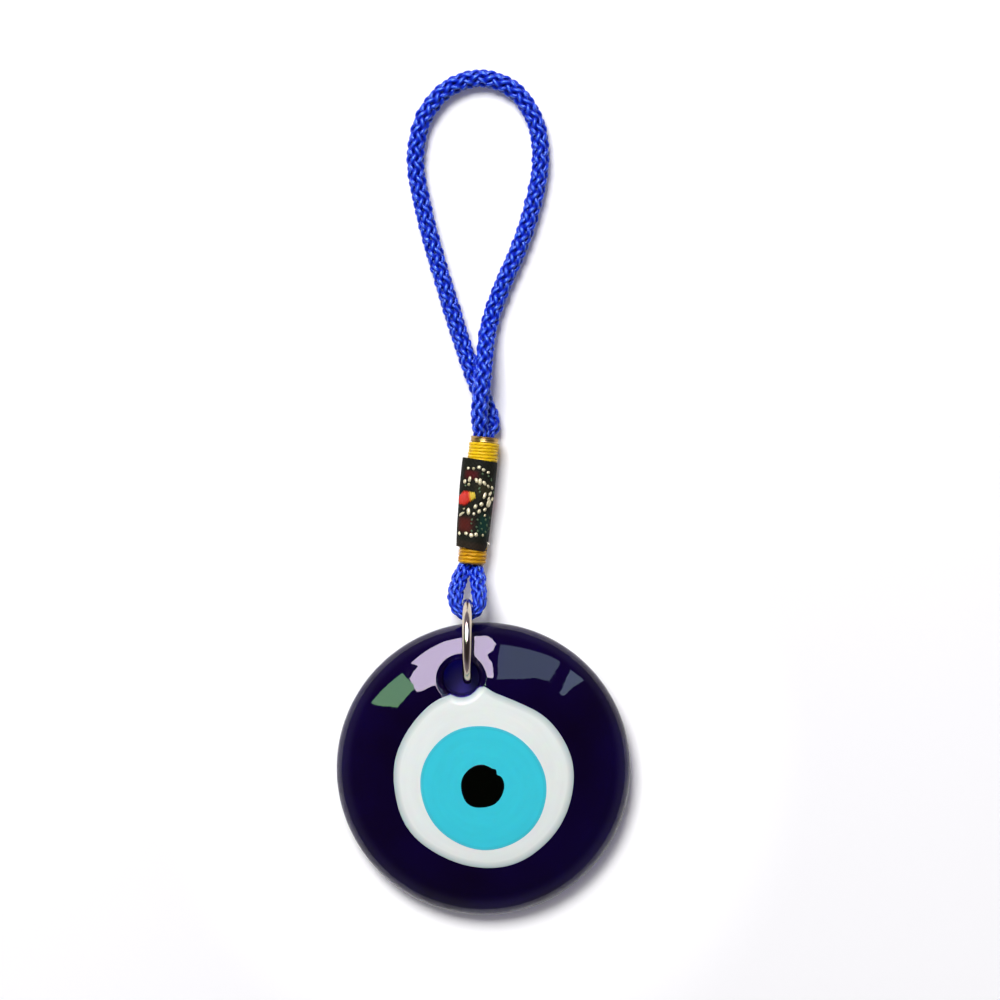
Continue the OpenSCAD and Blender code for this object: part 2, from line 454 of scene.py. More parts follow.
# how far the white's edge strays from a circle: (at degrees, millimetres, over degrees)
WHITE_STRAYS = [(67, -0.6, 22), (90, 0.5, 5), (118, 0.3, 14), (245, -0.27, 20)]
WHITE_AT = np.array([0, -0.8]) * MM
IRIS_R = 7.4 * MM
IRIS_AT = np.array([0, -1.75]) * MM
PUPIL_R = 2.6 * MM
PUPIL_AT = np.array([-0.15, -1.6]) * MM
INLAY_DEPTH = 0.6 * MM
PROUD_WHITE = 0.03 * MM
PROUD_IRIS = 0.02 * MM
PROUD_PUPIL = 0.02 * MM


def in_place(points):
    """Points in the disc's own frame, its flat back on z = 0, moved to where it lies."""
    turned = np.asarray(points) @ np.array(DISC_FRAME.to_3x3()).T
    return turned + np.array(DISC_FRAME.translation)


def ripple(x, y):
    """The slight waves that hand-pressed glass keeps."""
    a, b = x / MM, y / MM
    waves = np.sin(0.9 * a + 0.5 * b) + np.sin(0.7 * b - 0.6 * a + 2) + np.sin(1.3 * a + 1)
    return 0.006 * MM * waves


def blank_top(x, y):
    """The front of the disc, without its hole."""
    share = np.clip(np.hypot(x, y) / DISC_R, 0, 1)
    dome = np.sqrt(1 - share**4)
    return GIRTH + (DISC_T - GIRTH) * dome + ripple(x, y) * dome


def glass_top(x, y):
    """The front of the disc, rounded down into the hole."""
    from_wall = np.hypot(x - HOLE_AT[0], y - HOLE_AT[1]) - HOLE_R
    inward = np.clip(MOUTH_FRONT - from_wall, 0, MOUTH_FRONT)
    return blank_top(x, y) - MOUTH_FRONT + np.sqrt(MOUTH_FRONT**2 - inward**2)


def ring_points(centre, radius, height):
    """A ring of the disc; height is a number or a function of x and y."""
    angles = round_angles(WALL_SEGMENTS)
    x = centre[0] + radius * np.cos(angles)
    y = centre[1] + radius * np.sin(angles)
    z = height(x, y) if callable(height) else np.zeros_like(x) + height
    return np.stack([x, y, z], axis=1)


def between(inner, outer, share):
    """A ring between the hole's circle and one round the disc's middle: (centre, radius)."""
    return HOLE_AT * (1 - share), inner + (outer - inner) * share


def glass_rings():
    """Rings that go over the front, round the rim, across the back and up the hole."""
    rings = []
    for share in 1 - (1 - np.linspace(0, 1, 90)) ** 2:
        centre, radius = between(HOLE_R + MOUTH_FRONT, DISC_R, share)
        rings.append(ring_points(centre, radius, glass_top))
    for a in np.linspace(0, TURN / 4, 15)[1:]:
        radius = DISC_R - GIRTH * (1 - math.cos(a))
        rings.append(ring_points((0, 0), radius, GIRTH * (1 - math.sin(a))))
    for share in np.linspace(1, 0, 40)[1:]:
        centre, radius = between(HOLE_R + MOUTH_BACK, DISC_R - GIRTH, share)
        rings.append(ring_points(centre, radius, back_height))
    for a in np.linspace(0, TURN / 4, 11)[1:]:
        radius = HOLE_R + MOUTH_BACK * (1 - math.sin(a))
        rings.append(ring_points(HOLE_AT, radius, MOUTH_BACK * (1 - math.cos(a))))
    wall_top = ring_points(HOLE_AT, HOLE_R, glass_top)
    wall_foot = rings[-1]
    for share in np.linspace(0, 1, 10)[1:]:
        rings.append(wall_foot * (1 - share) + wall_top * share)
    for a in np.linspace(TURN / 4, 0, 14)[1:-1]:
        radius = HOLE_R + MOUTH_FRONT * (1 - math.sin(a))
        rings.append(ring_points(HOLE_AT, radius, glass_top))
    return rings


def back_height(x, y):
    """The back is flat with shallow dents from the iron plate it cooled on."""
    a, b = x / MM, y / MM
    dents = np.sin(1.7 * a + 0.4 * b) * np.sin(1.5 * b - 0.3 * a + 1)
    # no dent reaches the edges, which meet the rim and the hole's mouth
    from_edge = (DISC_R - GIRTH) - np.hypot(x, y)
    from_hole = np.hypot(x - HOLE_AT[0], y - HOLE_AT[1]) - HOLE_R - MOUTH_BACK
    fade = np.clip(np.minimum(from_edge, from_hole) / (2 * MM), 0, 1)
    return 0.03 * MM * (1 + dents) * fade


def cobalt_material():
    """Clear cobalt glass, which darkens with its thickness."""
    made, tree, shader = new_material(
        "cobalt_glass", (0.11, 0.02, 0.7), 0.02, IOR=1.5, Transmission_Weight=0.97,
        Specular_IOR_Level=0.3
    )
    output = next(n for n in tree.nodes if n.type == "OUTPUT_MATERIAL")
    inside = node(tree, "ShaderNodeVolumeAbsorption")
    inside.inputs["Color"].default_value = (0.12, 0.02, 0.4, 1)
    inside.inputs["Density"].default_value = 900
    tree.links.new(inside.outputs["Volume"], output.inputs["Volume"])
    place = node(tree, "ShaderNodeTexCoord").outputs["Object"]
    inputs = {0: place, 1: (1 / MM, 1 / MM, 1 / MM)}
    place = node(tree, "ShaderNodeVectorMath", inputs, operation="MULTIPLY").outputs[0]
    streaks = noise(tree, place, 2, 0.11)
    stops = [(0.3, (0.1, 0.016, 0.42)), (0.7, (0.13, 0.024, 1))]
    tree.links.new(ramp(tree, streaks, stops), shader.inputs["Base Color"])
    bump(tree, shader, noise(tree, place, 2, 0.7), 0.02 * MM, 0.2)
    return made


def add_glass():
    rings = glass_rings()
    faces = lattice(len(rings), WALL_SEGMENTS, close_rows=True)
    made = new_object("cobalt_disc", in_place(np.vstack(rings)), faces, "glass", cobalt_material())
    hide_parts("glass_body")


def white_edge(angles):
    """The white's edge: a circle drawn out towards the hole, where it stops at the hole."""
    degrees = np.degrees(angles) % 360
    edge = WHITE_R + 0.05 * MM * np.sin(5 * angles + 1) + 0.03 * MM * np.sin(9 * angles)
    for at, much, over in WHITE_STRAYS:
        edge = edge + much * MM * np.exp(-(((degrees - at) / over) ** 2))
    way = circle(angles)
    to_hole = HOLE_AT - WHITE_AT
    stop = HOLE_R + 0.12 * MM
    ahead = way @ to_hole
    inside = ahead**2 - (to_hole @ to_hole - stop**2)
    reached = ahead - np.sqrt(np.maximum(inside, 0))
    return np.where((inside > 0) & (ahead > 0), np.minimum(edge, reached), edge)


def iris_edge(angles):
    oval = 0.18 * MM * np.cos(2 * (angles - math.radians(140)))
    return IRIS_R + oval + 0.03 * MM * np.sin(3 * angles + 0.5) + 0.02 * MM * np.sin(7 * angles)


def pupil_edge(angles):
    """Not quite round, with a small notch and bump at the upper right."""
    degrees = np.degrees(angles) % 360
    bump_out = 0.16 * MM * np.exp(-(((degrees - 52) / 6) ** 2))
    notch = 0.2 * MM * np.exp(-(((degrees - 38) / 7) ** 2))
    wobble = 0.07 * MM * np.sin(3 * angles + 2) + 0.04 * MM * np.sin(5 * angles)
    return PUPIL_R - 0.05 * MM + bump_out - notch + wobble


def inlay(name, centre, edge, below, proud, material, cad_node):
    """One fused layer: a low cushion that follows the disc's front and reaches a little into it."""
    angles = round_angles(WALL_SEGMENTS)
    reach = edge(angles)
    way = circle(angles)
    shares = 1 - (1 - np.linspace(0, 1, 60)) ** 1.6
    points, polar = [], []
    for share in shares[1:]:
        flat = centre + way * (reach * share)[:, None]
        to_edge = np.clip(reach * (1 - share) / (0.3 * MM), 0, 1)
        swell = np.sqrt(1 - (1 - to_edge) ** 2)
        top = glass_top(flat[:, 0], flat[:, 1]) + below + proud * swell
        points.append(np.column_stack([flat, top]))
        polar.append(np.column_stack([reach * share, angles, reach - reach * share]))
    skirt = points[-1].copy()
    skirt[:, 2] -= INLAY_DEPTH
    points.append(skirt)
    polar.append(polar[-1])
    rings = len(points)
    heart = np.array([*centre, glass_top(*centre) + below + proud])
    foot = heart - (0, 0, INLAY_DEPTH)
    faces = lattice(rings, WALL_SEGMENTS)
    faces += cap(WALL_SEGMENTS, 0, rings * WALL_SEGMENTS, outward=False)
    last = (rings - 1) * WALL_SEGMENTS
    faces += cap(WALL_SEGMENTS, last, rings * WALL_SEGMENTS + 1, outward=True)
    all_points = np.vstack([*points, heart[None], foot[None]])
    made = new_object(name, in_place(all_points), faces, "glass", material)
    set_vectors(made, "polar", np.vstack([*polar, np.zeros((2, 3))]))
    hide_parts(cad_node)


def opal_material(name, colour, edge_colour, edge_width):
    """Milky glass, a little darker where it thins out over the cobalt at its edge."""
    made, tree, shader = new_material(
        name, colour, 0.06, IOR=1.5, Specular_IOR_Level=0.17, Subsurface_Weight=0.15,
        Subsurface_Scale=0.5 * MM
    )
    read = node(tree, "ShaderNodeAttribute", attribute_name="polar")
    split = node(tree, "ShaderNodeSeparateXYZ", {0: read.outputs["Vector"]})
    inputs = {"Value": split.outputs["Z"], "From Max": edge_width}
    from_edge = node(tree, "ShaderNodeMapRange", inputs).outputs["Result"]
    strokes = noise(tree, scaled(tree, "polar", (1300, 1.2, 0)), 3)
    inputs = {0: from_edge, 1: remap(tree, strokes, 0.86, 1.06)}
    mottled = node(tree, "ShaderNodeMath", inputs, operation="MULTIPLY").outputs[0]
    lighter = tuple(min(1, c * 1.05) for c in colour)
    darker = tuple(c * 0.95 for c in colour)
    stops = [(0, edge_colour), (0.8, darker), (0.9, colour), (1, lighter)]
    tree.links.new(ramp(tree, mottled, stops), shader.inputs["Base Color"])
    return made


def add_inlays():
    white = opal_material("white_opal", (0.8, 0.85, 0.83), (0.44, 0.54, 0.54), 0.8 * MM)
    blue = opal_material("light_blue_opal", (0.048, 0.6, 0.73), (0.08, 0.56, 0.7), 0.4 * MM)
    black = opal_material("black_opal", (0.0006, 0.001, 0.0004), (0.002, 0.006, 0.008), 0.3 * MM)
    inlay("white_layer", WHITE_AT, white_edge, 0, PROUD_WHITE, white, "white_glass")
    below = PROUD_WHITE
    inlay("light_blue_layer", IRIS_AT, iris_edge, below, PROUD_IRIS, blue,
          "light_blue_glass")
    below += PROUD_IRIS
    inlay("pupil_dot", PUPIL_AT, pupil_edge, below, PROUD_PUPIL, black,
          "pupil_glass")


# ---------------------------------------------------------------- jump ring

ring_low, ring_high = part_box("jump_ring")
RING_WIRE = ring_high.x - ring_low.x
RING_R = (ring_high.z - ring_low.z - RING_WIRE) / 2
RING_GAP = 0.2 * MM
RING_GAP_AT = math.radians(40)
WIRE_SIDES = 36


def metal_material():
    """Polished nickel wire with fine draw marks; its colour is warmer than bare nickel, a painted
    warm reflection of the room.
    """
    made, tree, shader = new_material("nickel_wire", (0.62, 0.53, 0.42), 0.12, Metallic=1.0)
    marks = noise(tree, scaled(tree, "wire", (200, 14, 1)), 4)
    tree.links.new(remap(tree, marks, 0.06, 0.2), shader.inputs["Roughness"])
    bump(tree, shader, marks, 0.01 * MM, 0.5)
    return made


def add_ring():
    """An open ring of round wire, its cut ends slightly rounded and a hair out of line."""
    steps = 240
    start = RING_GAP_AT
    end = RING_GAP_AT + TURN - RING_GAP / RING_R
    angles = np.linspace(start, end, steps)
    centre = np.array(middle("jump_ring"))
    out = np.stack([np.zeros(steps), np.sin(angles), -np.cos(angles)], axis=1)
    line = centre + out * RING_R
    sideways = np.array([1.0, 0, 0])
    # the ends pass each other by a hair, as a ring closed with pliers does
    near_end = np.clip((angles - end + 0.3) / 0.3, 0, 1)
    line = line + sideways * (0.05 * MM * near_end**2)[:, None]
    round_off = 0.12 * MM
    to_end = np.minimum(angles - start, end - angles) * RING_R
    shrink = 1 - 0.14 * (1 - np.clip(to_end / round_off, 0, 1)) ** 2
    half = RING_WIRE / 2 * shrink
    across = np.tile(sideways, (steps, 1))
    rings = tube(line, across, out, half, half, circle(round_angles(WIRE_SIDES)))
    points = np.vstack([rings, line[:1], line[-1:]])
    faces = closed_tube(steps, WIRE_SIDES, 0)
    made = new_object("wire_ring", points, faces, "ring", metal_material())
    where = np.zeros((steps, WIRE_SIDES, 3))
    where[:, :, 0] = (angles * RING_R)[:, None]
    where[:, :, 1] = np.arange(WIRE_SIDES)
    set_vectors(made, "wire", np.vstack([where.reshape(-1, 3), np.zeros((2, 3))]))
    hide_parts("jump_ring")


# ---------------------------------------------------------------- sleeve

SLEEVE_LEAN = math.radians(6)
SLEEVE_L = 15.3 * MM
TUBE_R = 1.5 * MM
TUBE_WALL = 0.2 * MM
LOWER_L = 2.1 * MM
BROCADE_L = 10.4 * MM
UPPER_L = 2.1 * MM
COLLAR_L = SLEEVE_L - LOWER_L - BROCADE_L - UPPER_L
COLLAR_R = 1.75 * MM
COLLAR_SIDES = 128
LOWER_R = 1.7 * MM
UPPER_R = 1.82 * MM
BROCADE_R = 2.05 * MM
sleeve_mid = np.array(middle("core_tube"))
sleeve_way = np.array([math.sin(SLEEVE_LEAN), math.cos(SLEEVE_LEAN), 0])
sleeve_right = np.array([math.cos(SLEEVE_LEAN), -math.sin(SLEEVE_LEAN), 0])
sleeve_up = np.array([0.0, 0, 1])


def on_sleeve(along, angle, radius):
    """A point beside the sleeve: along from its lower end, angle from its top to the right."""
    along, angle, radius = np.broadcast_arrays(along, angle, radius)
    out = np.sin(angle)[..., None] * sleeve_right + np.cos(angle)[..., None] * sleeve_up
    start = sleeve_mid - sleeve_way * SLEEVE_L / 2
    return start + along[..., None] * sleeve_way + out * radius[..., None]


def lathe(name, profile, sides, body, material):
    """A closed ring swept round the sleeve from a closed profile of (along, radius)."""
    angles = round_angles(sides)
    rows = [on_sleeve(along, angles, radius) for along, radius in profile]
    faces = lattice(len(rows), sides, close_rows=True)
    return new_object(name, np.vstack(rows), faces, body, material)


def tube_material():
    """Clear plastic with an amber cast from the glue and thread in it."""
    made, tree, shader = new_material(
        "clear_tube", (0.95, 0.74, 0.36), 0.08, IOR=1.46, Transmission_Weight=0.85
    )
    place = node(tree, "ShaderNodeTexCoord").outputs["Object"]
    cloudy = noise(tree, place, 3, 900)
    tree.links.new(remap(tree, cloudy, 0.04, 0.22), shader.inputs["Roughness"])
    bump(tree, shader, cloudy, 0.05 * MM, 0.4)
    return made


def collar_material():
    """Bronze-coloured foil band with darker and lighter marks brushed round."""
    made, tree, shader = new_material("bronze_collar", (0.5, 0.3, 0.08), 0.25, Metallic=0.85)
    marks = noise(tree, scaled(tree, "thread", (9000, 300, 1)), 3)
    stops = [(0.3, (0.2, 0.1, 0.02)), (0.65, (0.62, 0.42, 0.14))]
    tree.links.new(ramp(tree, marks, stops), shader.inputs["Base Color"])
    tree.links.new(remap(tree, marks, 0.16, 0.36), shader.inputs["Roughness"])
    bump(tree, shader, marks, 0.02 * MM, 0.5)
    return made


def add_tube():
    """The tube's own wall with small lips, and the collar's grooved band at its head."""
    inner = TUBE_R - TUBE_WALL
    lip = 0.09 * MM
    profile = [
        (0, inner + lip), (0, TUBE_R - lip), (lip, TUBE_R),
        (SLEEVE_L - lip, TUBE_R), (SLEEVE_L, TUBE_R - lip),
        (SLEEVE_L, inner + lip), (SLEEVE_L - lip, inner), (lip, inner),
    ]
    made = lathe("clear_sleeve_tube", profile, 96, "strap", tube_material())
    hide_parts("core_tube")
    start = SLEEVE_L - COLLAR_L
    shares = np.linspace(0, 1, 29)
    # a rounded rim line, a hollow band and a small foot
    rim = 0.09 * MM * np.exp(-(((shares - 0.86) / 0.08) ** 2))
    foot = 0.05 * MM * np.exp(-(((shares - 0.06) / 0.06) ** 2))
    ends = 0.12 * MM * (1 - np.clip(np.minimum(shares, 1 - shares) / 0.1, 0, 1)) ** 2
    radii = COLLAR_R - 0.1 * MM + rim + foot - ends
    profile = [(start + share * COLLAR_L, radius) for share, radius in zip(shares, radii)]
    profile += [(SLEEVE_L, TUBE_R + 0.01 * MM), (start, TUBE_R + 0.01 * MM)]
    band = lathe("sleeve_collar", profile, COLLAR_SIDES, "strap", collar_material())
    where = np.zeros((len(profile), COLLAR_SIDES, 3))
    where[:, :, 0] = np.array([along for along, radius in profile])[:, None]
    where[:, :, 1] = np.sin(round_angles(COLLAR_SIDES)) * COLLAR_R
    where[:, :, 2] = np.cos(round_angles(COLLAR_SIDES)) * COLLAR_R
    set_vectors(band, "thread", where.reshape(-1, 3))


def thread_material(name, dark, light):
    """Glossy wound thread: two twisted plies with fine filaments."""
    made, tree, shader = new_material(
        name, light, 0.36, Specular_IOR_Level=0.4, Specular_Tint=(1, 0.8, 0.3, 1)
    )
    streaks = noise(tree, scaled(tree, "thread", (500, 2.2, 1)), 3)
    tree.links.new(ramp(tree, streaks, [(0.35, dark), (0.65, light)]), shader.inputs["Base Color"])
    fine = noise(tree, scaled(tree, "thread", (2500, 9, 1)), 2)
    bump(tree, shader, fine, 0.02 * MM, 0.6)
    return made


def add_winding(name, start, length, turns, outer, material, cad_node):
    """Thread wound side by side round the tube as one helix, whose ends tuck under at the back."""
    sides = 12
    thread_r = length / turns * 0.53
    steps = turns * 110
    spun = np.linspace(0, turns * TURN, steps)
    # the first and the last half turn lie level, so the band's front ends square
    share = np.clip((spun - math.pi) / ((turns - 1) * TURN), 0, 1)
    along = start + thread_r + (length - 2 * thread_r) * share
    spin = spun + math.pi
    tuck = np.clip(np.minimum(spun, spun[-1] - spun) / 0.6, 0, 1)
    wander = 0.02 * MM * np.sin(spun * 2.3 + 1)
    radius = outer - thread_r + wander - (1 - tuck) * thread_r * 0.6
    line = on_sleeve(along, spin, radius)
    ahead = unit(np.gradient(line, axis=0))
    out = unit(line - on_sleeve(along, 0.0, 0.0))
    across = np.cross(ahead, out)
    around = round_angles(sides)
    length_at = spin * outer
    twist = length_at / (1.1 * MM) * TURN
    plies = 1 + 0.09 * np.cos(2 * around[None] - twist[:, None])
    rings = (
        line[:, None]
        + across[:, None] * (np.cos(around) * plies * thread_r)[:, :, None]
        + out[:, None] * (np.sin(around) * plies * thread_r)[:, :, None]
    ).reshape(-1, 3)
    points = np.vstack([rings, line[:1], line[-1:]])
    faces = closed_tube(steps, sides, 0)
    made = new_object(name, points, faces, "strap", material)
    where = np.zeros((steps, sides, 3))
    where[:, :, 0] = length_at[:, None]
    where[:, :, 1] = around - twist[:, None] / 2
    set_vectors(made, "thread", np.vstack([where.reshape(-1, 3), np.zeros((2, 3))]))
    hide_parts(cad_node)


def add_windings():
    # the lower band's thread is coloured darker and more orange than the upper band's
    darker_thread = thread_material("lower_darker_thread", (0.36, 0.14, 0.003), (0.78, 0.42, 0.008))
    yellow = thread_material("upper_yellow_thread", (0.66, 0.38, 0.004), (0.95, 0.66, 0.01))
    # both bands reach a little under the ribbon, whose ends are cut on a slant
    under = 0.2 * MM
    start = 0.1 * MM
    add_winding("lower_thread_winding", start, LOWER_L + under - start, 5, LOWER_R, darker_thread,
                "lower_winding")
    start = LOWER_L + BROCADE_L - under
    add_winding("upper_thread_winding", start, UPPER_L + under, 6, UPPER_R, yellow,
                "upper_winding")


# The ribbon's pattern repeats round the tube. Places on it are (down from the ribbon's upper end,
# across from the middle of its visible side), both as lengths on its surface.
HALF_ROUND = TURN / 2 * BROCADE_R
PATTERN_REPEAT = TURN * BROCADE_R / 2
WEAVE = 0.27 * MM
GROUND = (0.01, 0.011, 0.005)
# woven colour patches, in millimetres: (down, across, half length, half width, colour)
PATCHES = [
    (1.85, -1.0, 0.5, 0.9, (0.09, 0.006, 0.006)),
    (7.7, -1.3, 0.85, 1.1, (0.11, 0.014, 0.008)),
    (7.4, 1.5, 1.2, 0.9, (0.005, 0.05, 0.035)),
    (3.4, 1.0, 0.9, 1.3, (0.035, 0.032, 0.012)),
    (10.0, 0.0, 0.45, 3.0, (0.03, 0.02, 0.01)),
]
HEM_BAND = 0.9 * MM
# the wrap sits a little off the tube's axis, to its left
RIBBON_OFF = 0.2 * MM
# and it reaches this far over the lower thread
RIBBON_LONG = 0.28 * MM


def ribbon_radius(down, across):
    """The ribbon's surface: a plain weave, turned hems at the ends and a seam at the back."""
    weave = np.sin(np.pi * down / WEAVE) * np.sin(np.pi * across / WEAVE)
    hem = np.clip(1 - np.minimum(down, BROCADE_L - down) / HEM_BAND, 0, 1)
    angle = across / BROCADE_R
    seam = np.exp(-(((np.abs(angle) - np.pi * 0.96) / 0.09) ** 2)) * (angle > 0)
    uneven = np.sin(down / MM * 1.1 + 1) * np.sin(angle * 2 + down / MM * 0.4)
    # the wrap is slack on its left side and narrows towards the lower end
    share = down / BROCADE_L
    slack = 0.2 * np.exp(-(((angle + 1.5) / 0.8) ** 2)) * (1 - share**2)
    relief = 0.022 * weave - 0.03 * hem + 0.09 * seam + 0.02 * uneven + slack - 0.14 * share**2
    return BROCADE_R + MM * (relief - 0.03)


def ribbon_place(down, across, lift=0.0):
    """A point on the ribbon, lift above its surface."""
    share = down / BROCADE_L
    angle = across / BROCADE_R
    # both ends were cut on a slant, lower at the right
    slant = (0.12 * (1 - share) ** 2 + 0.2 * share**2) * MM * np.sin(angle)
    along = LOWER_L + BROCADE_L - down - slant - RIBBON_LONG * share
    place = on_sleeve(along, angle, ribbon_radius(down, across) + lift)
    place = place - sleeve_right * RIBBON_OFF
    place[..., 2] = np.maximum(place[..., 2], ON_TABLE)
    return place


def blot(down, across, at_down, at_across, tall, wide):
    """How much of a soft-edged patch lies at a place, from 0 to 1."""
    return np.exp(-(((down - at_down) / tall) ** 4) - ((across - at_across) / wide) ** 4)


def ribbon_colours(down, across):
    """The woven colour patches on the dark ground."""
    colours = np.tile(GROUND, (len(down), 1))
    at = (across + PATTERN_REPEAT / 2) % PATTERN_REPEAT - PATTERN_REPEAT / 2
    for at_down, at_across, tall, wide, colour in PATCHES:
        much = blot(down / MM, at / MM, at_down, at_across, tall, wide)[:, None]
        colours = colours * (1 - much) + np.array(colour) * much
    return colours


def woven_colour(tree, shader, factor, other):
    """The colour kept per point, mixed with another one."""
    read = node(tree, "ShaderNodeAttribute", attribute_name="woven")
    inputs = {"Factor": factor, 6: read.outputs["Color"], 7: other}
    mixed = node(tree, "ShaderNodeMix", inputs, data_type="RGBA")
    tree.links.new(mixed.outputs[2], shader.inputs["Base Color"])


def ribbon_material():
    """Dark woven silk whose colour is kept per point, with fine yarn in it."""
    made, tree, shader = new_material(
        "brocade_ribbon", GROUND, 0.7, Specular_IOR_Level=0.1, Sheen_Weight=0.02
    )
    grain = noise(tree, scaled(tree, "ribbon", (4000, 9000, 1)), 3)
    woven_colour(tree, shader, remap(tree, grain, 0.0, 0.6), (0.004, 0.004, 0.003, 1))
    bump(tree, shader, grain, 0.03 * MM, 0.6)
    return made


def add_ribbon():
    """The ribbon as a closed wall round the tube, its outside woven in relief."""
    rows, columns = 170, 190
    downs = np.linspace(0, BROCADE_L, rows)
    across = (np.arange(columns) / columns - 0.5) * TURN * BROCADE_R
    down_grid, across_grid = np.meshgrid(downs, across, indexing="ij")
    outside = ribbon_place(down_grid.ravel(), across_grid.ravel())
    inner = np.full(columns, TUBE_R + 0.05 * MM)
    angles = across / BROCADE_R
    foot = on_sleeve(LOWER_L - RIBBON_LONG - 0.2 * MM * np.sin(angles), angles, inner)
    head = on_sleeve(LOWER_L + BROCADE_L - 0.12 * MM * np.sin(angles), angles, inner)
    points = np.vstack([outside, foot, head])
    faces = lattice(rows + 2, columns, close_rows=True)
    made = new_object("brocade_ribbon", points, faces, "strap", ribbon_material())
    flat_down = np.concatenate([down_grid.ravel(), np.full(columns, BROCADE_L), np.zeros(columns)])
    flat_across = np.concatenate([across_grid.ravel(), across, across])
    set_colours(made, "woven", ribbon_colours(flat_down, flat_across))
    set_vectors(made, "ribbon", np.column_stack([flat_down, flat_across, flat_down * 0]))
    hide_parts("brocade_sleeve")


def stitch(down, across, length, width, lean, lift):
    """One raised float of thread on the ribbon, as (points, faces from 0)."""
    sides, steps = 10, 7
    around = round_angles(sides)
    points = []
    for place in np.linspace(-1, 1, steps):
        thick = math.sqrt(max(0.02, 1 - abs(place) ** 2.5))
        s = place * length / 2
        c = np.cos(around) * thick * width / 2
        height = lift * (0.25 + 0.75 * np.sin(around)) * thick
        d = down + s * math.cos(lean) - c * math.sin(lean)
        a = across + s * math.sin(lean) + c * math.cos(lean)
        points.append(ribbon_place(d, a, height))
    points.append(ribbon_place(np.array([down]), np.array([across]), np.array([0.0])))
    faces = lattice(steps, sides)
    end = steps * sides
    faces += cap(sides, 0, end, outward=False) + cap(sides, end - sides, end, outward=True)
    return np.vstack(points), faces


def add_stitches(name, stitches, material):
    """Many floats as one object, from (down, across, length, width, lean, lift, colour) each."""
    points, faces, colours = [], [], []
    first = 0
    for *place, colour in stitches:
        made_points, made_faces = stitch(*place)
        points.append(made_points)
        faces += [tuple(first + i for i in face) for face in made_faces]
        colours.append(np.tile(colour, (len(made_points), 1)))
        first += len(made_points)
    made = new_object(name, np.vstack(points), faces, "strap", material)
    set_colours(made, "woven", np.vstack(colours))


def float_material(name, roughness, metallic):
    """Metal or silk thread floats in their own colours."""
    made, tree, shader = new_material(name, (0.7, 0.6, 0.35), roughness, Metallic=metallic,
                                      Specular_IOR_Level=0.2)
    place = node(tree, "ShaderNodeTexCoord").outputs["Object"]
    grain = noise(tree, place, 3, 9000)
    woven_colour(tree, shader, remap(tree, grain, 0.0, 0.35), (0.2, 0.12, 0.03, 1))
    bump(tree, shader, grain, 0.02 * MM, 0.5)
    return made


# the cream floats, in millimetres: (down, across, length, width, lean)
CREAM_FLOATS = [
    (1.15, -1.45, 0.32, 0.32, 0), (1.1, -0.75, 0.3, 0.3, 0), (0.9, -0.1, 0.42, 0.4, 0),
    (1.1, 0.45, 0.36, 0.38, 0), (1.3, 1.1, 0.32, 0.32, 0.3), (2.75, -1.75, 0.4, 0.34, 0),
    (2.45, -1.1, 0.65, 0.36, -0.1), (3.0, -1.15, 0.3, 0.26, 0), (2.4, -0.25, 0.5, 0.3, 0.5),
    (2.5, 0.2, 0.75, 0.42, 0.1), (2.6, 0.75, 0.5, 0.3, 0.7), (2.9, 1.3, 0.4, 0.26, 0.8),
    (3.1, 2.0, 0.45, 0.3, 0.6), (4.05, 0.95, 0.65, 0.26, -0.3), (3.75, 1.75, 0.6, 0.28, -0.6),
    (4.3, 2.3, 0.5, 0.28, -0.4), (4.3, 1.6, 0.4, 0.24, -0.5), (4.85, 1.7, 0.8, 0.5, -0.3),
    (5.05, 0.65, 0.5, 0.42, -0.6), (5.45, -0.05, 0.5, 0.36, -0.5), (5.6, 1.2, 0.45, 0.3, -0.7),
    (6.0, 0.45, 0.5, 0.34, -0.6), (6.3, -0.15, 0.36, 0.3, -0.2), (6.15, -0.85, 0.65, 0.32, 0.1),
    (6.35, 1.3, 0.3, 0.22, -0.4), (6.5, -1.85, 0.8, 0.22, -1.0), (5.9, -1.5, 0.3, 0.2, -0.8),
    (8.7, -0.9, 0.4, 0.4, 0), (8.75, -0.2, 0.42, 0.42, 0), (8.65, 0.38, 0.4, 0.36, 0),
    (8.8, -2.0, 0.4, 0.3, 0.4), (8.6, 1.3, 0.3, 0.26, 0),
]
# the dull green floats: (down, across)
DULL_FLOATS = [
    (1.6, 0.4), (1.75, 1.2), (3.3, 0.2), (3.2, -1.6), (3.7, 0.3), (3.5, 2.5), (2.1, 1.7),
    (7.0, -0.3), (7.45, -0.35), (7.75, 0.35), (7.25, 0.85), (7.9, 1.1), (6.75, 1.5),
    (7.4, 1.85), (8.2, 0.55), (6.9, 0.4), (8.15, 1.7), (6.5, 2.3), (7.7, 2.4), (8.3, -0.2),
]


def cream_stitches():
    """The cream floats on each repeat, and a pale frayed fibre low on the right."""
    rng = np.random.default_rng(11)
    cream, pale, frayed = (0.9, 0.84, 0.55), (0.55, 0.52, 0.3), (0.7, 0.68, 0.55)
    found = []
    for copy in (-1, 0, 1):
        for down, across, length, width, lean in CREAM_FLOATS:
            at = across * MM + copy * PATTERN_REPEAT
            if abs(at) < HALF_ROUND:
                jitter = rng.normal(0, 0.03) * MM
                colour = cream if length > 0.3 else pale
                swell = rng.uniform(1.1, 1.4) * MM
                found.append((down * MM + jitter, at, length * swell, width * swell, lean,
                              0.14 * MM, colour))
    found.append((9.6 * MM, 2.55 * MM, 0.9 * MM, 0.1 * MM, 0.5, 0.22 * MM, frayed))
    found.append((9.5 * MM, 2.75 * MM, 0.5 * MM, 0.08 * MM, -0.2, 0.26 * MM, frayed))
    return found


